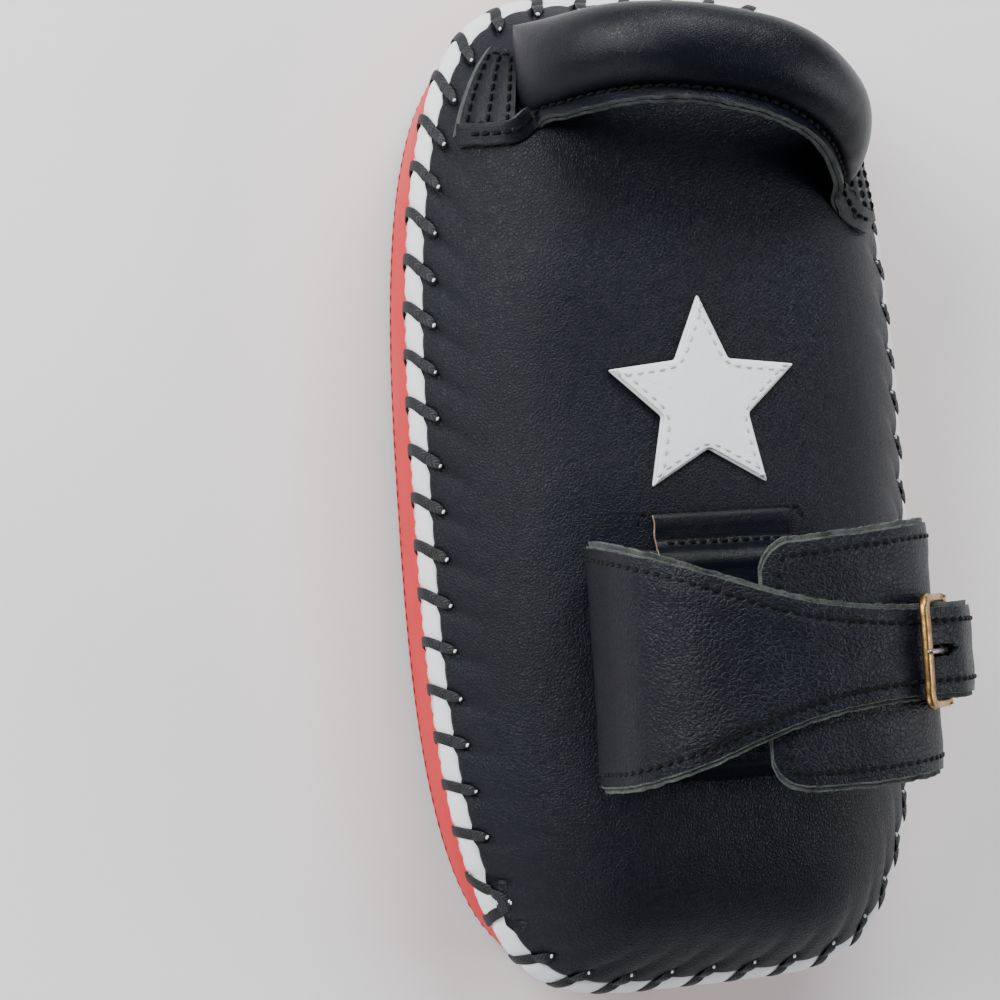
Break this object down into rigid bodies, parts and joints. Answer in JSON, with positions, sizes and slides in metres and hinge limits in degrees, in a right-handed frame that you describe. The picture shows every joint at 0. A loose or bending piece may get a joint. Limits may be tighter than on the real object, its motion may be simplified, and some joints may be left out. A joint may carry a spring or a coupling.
{
  "type": "thai pad",
  "caption": "Padded forearm target with a flat striking face, domed back, whip-laced rim, arched hand grip and a buckled forearm cuff.",
  "frame": {"origin": "middle of the striking face's underside, at the centre of the object's box and on the surface it lies on", "axes": "+Z out of the domed back, +Y towards the handle end, +X to the right for someone looking at the back"},
  "size_m": [0.2158, 0.4018, 0.1863],
  "materials": {
    "black_leather": "satin",
    "red_leather": "gloss",
    "cotton_rope": "matte",
    "white_leather": "satin",
    "foam": "matte",
    "lace": "satin",
    "strap_leather": "satin",
    "suede_lining": "matte",
    "brass": "satin",
    "steel": "satin"
  },
  "bodies": {
    "pad": {"striking_face": "black_leather", "side_gusset": "red_leather", "rope_welt": "cotton_rope", "white_binding": "white_leather", "strike_foam": "foam", "core_foam": "foam", "back_foam": "foam", "back_panel": "black_leather", "edge_lacing": "lace", "star_badge": "white_leather", "handle_cover": "black_leather", "handle_foam": "foam", "handle_flange": "black_leather", "handle_tab_left": "black_leather", "handle_tab_right": "black_leather", "cuff_band": "strap_leather", "cuff_lining": "suede_lining", "strap_bridge": "strap_leather", "buckle_chape": "strap_leather"},
    "flap": {"under_flap": "strap_leather", "under_flap_lining": "suede_lining"},
    "tongue_end": {"tongue_tip": "strap_leather", "tongue_tip_lining": "suede_lining"},
    "buckle": {"buckle_frame": "brass"},
    "prong": {"buckle_prong": "steel"}
  },
  "joints": [
    {"name": "buckle_swing", "type": "hinge", "parent": "pad", "child": "buckle", "pos_m": [0.06196, -0.0706, 0.16483], "axis": [0, 1, 0], "range_deg": [0, 8]},
    {"name": "prong_swing", "type": "hinge", "parent": "buckle", "child": "prong", "pos_m": [0.06196, -0.0706, 0.16483], "axis": [0, 1, 0], "range_deg": [0, 12]},
    {"name": "tongue_lift", "type": "hinge", "parent": "pad", "child": "tongue_end", "pos_m": [0.07386, -0.0706, 0.16345], "axis": [0, -1, 0], "range_deg": [0, 50]},
    {"name": "flap_flex", "type": "hinge", "parent": "pad", "child": "flap", "pos_m": [0.03858, -0.0685, 0.17125], "axis": [0, -1, 0], "range_deg": [0, 18], "stiffness_Nm_per_rad": 0.3, "springref_deg": -1.15}
  ]
}
